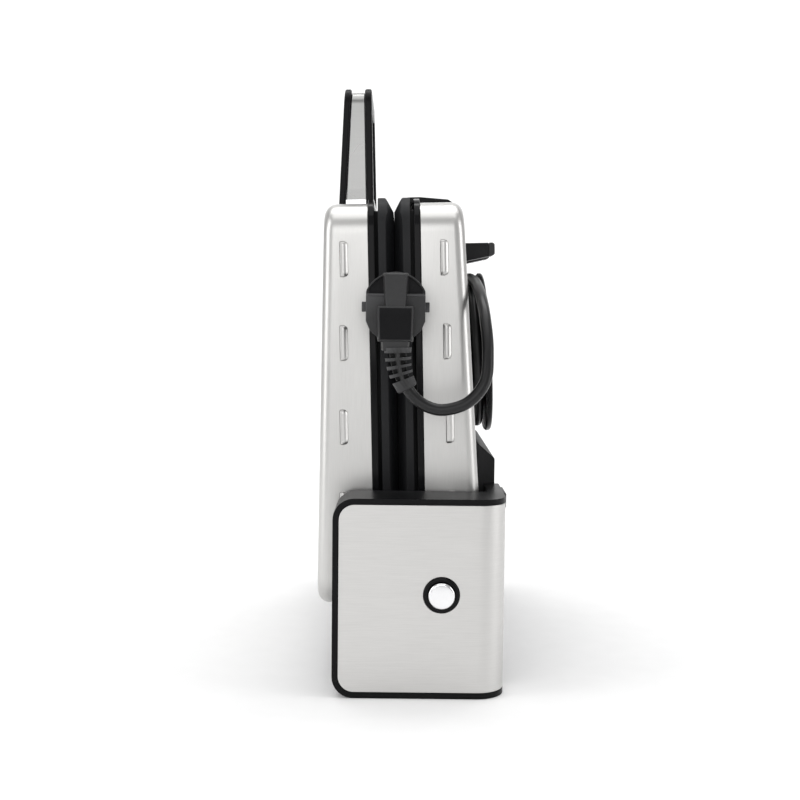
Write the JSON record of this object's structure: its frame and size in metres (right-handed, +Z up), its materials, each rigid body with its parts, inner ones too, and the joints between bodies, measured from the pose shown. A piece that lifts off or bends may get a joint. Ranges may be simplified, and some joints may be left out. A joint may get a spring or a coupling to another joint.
{
  "type": "waffle maker",
  "caption": "Upright-stored waffle maker with steel shells, studded plates, hinged upper half with a handle, stand with release buttons, cord spool and parked plug.",
  "frame": {"origin": "centre of the bounding box in X and Y, on the surface it stands on, measured without the cord and plug", "axes": "+Z up, +X from the hinged upper half to the fixed lower half, -Y towards the parked plug"},
  "size_m": [0.1192, 0.33, 0.3833],
  "materials": {
    "brushed_steel": "brushed, satin",
    "chrome": "polished",
    "zinc_steel": "zinc plated, dull",
    "gloss_black": "glossy",
    "matt_black": "fine matt grain",
    "cast_plate": "dark non-stick coating, matt",
    "rubber": "matt",
    "cord": "smooth matt jacket",
    "lamp_red": "clear tinted",
    "lamp_green": "clear tinted"
  },
  "bodies": {
    "root": {"lower_shell": "brushed_steel", "lower_bezel": "gloss_black", "lower_plate": "cast_plate", "lower_heater": "zinc_steel", "lower_reflector": "zinc_steel", "thermostat": "matt_black", "left_tower_housing": "gloss_black", "right_tower_housing": "gloss_black", "left_tower_cladding": "brushed_steel", "right_tower_cladding": "brushed_steel", "left_button_ring": "gloss_black", "right_button_ring": "gloss_black", "left_button_spring": "zinc_steel", "right_button_spring": "zinc_steel", "left_hinge_pin": "zinc_steel", "right_hinge_pin": "zinc_steel", "left_stand_pad": "rubber", "right_stand_pad": "rubber", "left_body_bracket": "zinc_steel", "right_body_bracket": "zinc_steel", "bridge": "matt_black", "left_bridge_screw": "zinc_steel", "right_bridge_screw": "zinc_steel", "left_front_foot": "matt_black", "right_front_foot": "matt_black", "left_foot_tip": "rubber", "right_foot_tip": "rubber", "front_lip": "matt_black", "spool_core": "matt_black", "spool_flange": "matt_black", "spool_screw": "zinc_steel", "plug_holder": "matt_black", "cord_entry_relief": "rubber", "cord_coil": "cord", "cord_lead": "cord", "plug_relief": "rubber", "plug_body": "rubber", "plug_pin_1": "chrome", "plug_pin_2": "chrome"},
    "upper_half": {"upper_shell": "brushed_steel", "upper_bezel": "gloss_black", "upper_plate": "cast_plate", "upper_heater": "zinc_steel", "upper_reflector": "zinc_steel", "left_lid_arm": "zinc_steel", "right_lid_arm": "zinc_steel", "left_arm_spacer": "zinc_steel", "right_arm_spacer": "zinc_steel", "handle_outer_rail": "gloss_black", "handle_inner_rail": "gloss_black", "handle_band": "brushed_steel", "handle_core": "matt_black", "power_lamp": "lamp_red", "ready_lamp": "lamp_green"},
    "left_button": {"left_release_button": "chrome"},
    "right_button": {"right_release_button": "chrome"}
  },
  "joints": [
    {"name": "lid_hinge", "type": "hinge", "parent": "root", "child": "upper_half", "pos_m": [-0.0022, 0, 0.062], "axis": [0, -1, 0], "range_deg": [0, 90]},
    {"name": "left_button_press", "type": "slide", "parent": "root", "child": "left_button", "axis": [0, 1, 0], "range_m": [0, 0.003], "stiffness_N_per_m": 600, "springref_m": -0.002, "deforming": ["left_button_spring"]},
    {"name": "right_button_press", "type": "slide", "parent": "root", "child": "right_button", "axis": [0, -1, 0], "range_m": [0, 0.003], "stiffness_N_per_m": 600, "springref_m": -0.002, "deforming": ["right_button_spring"]}
  ]
}
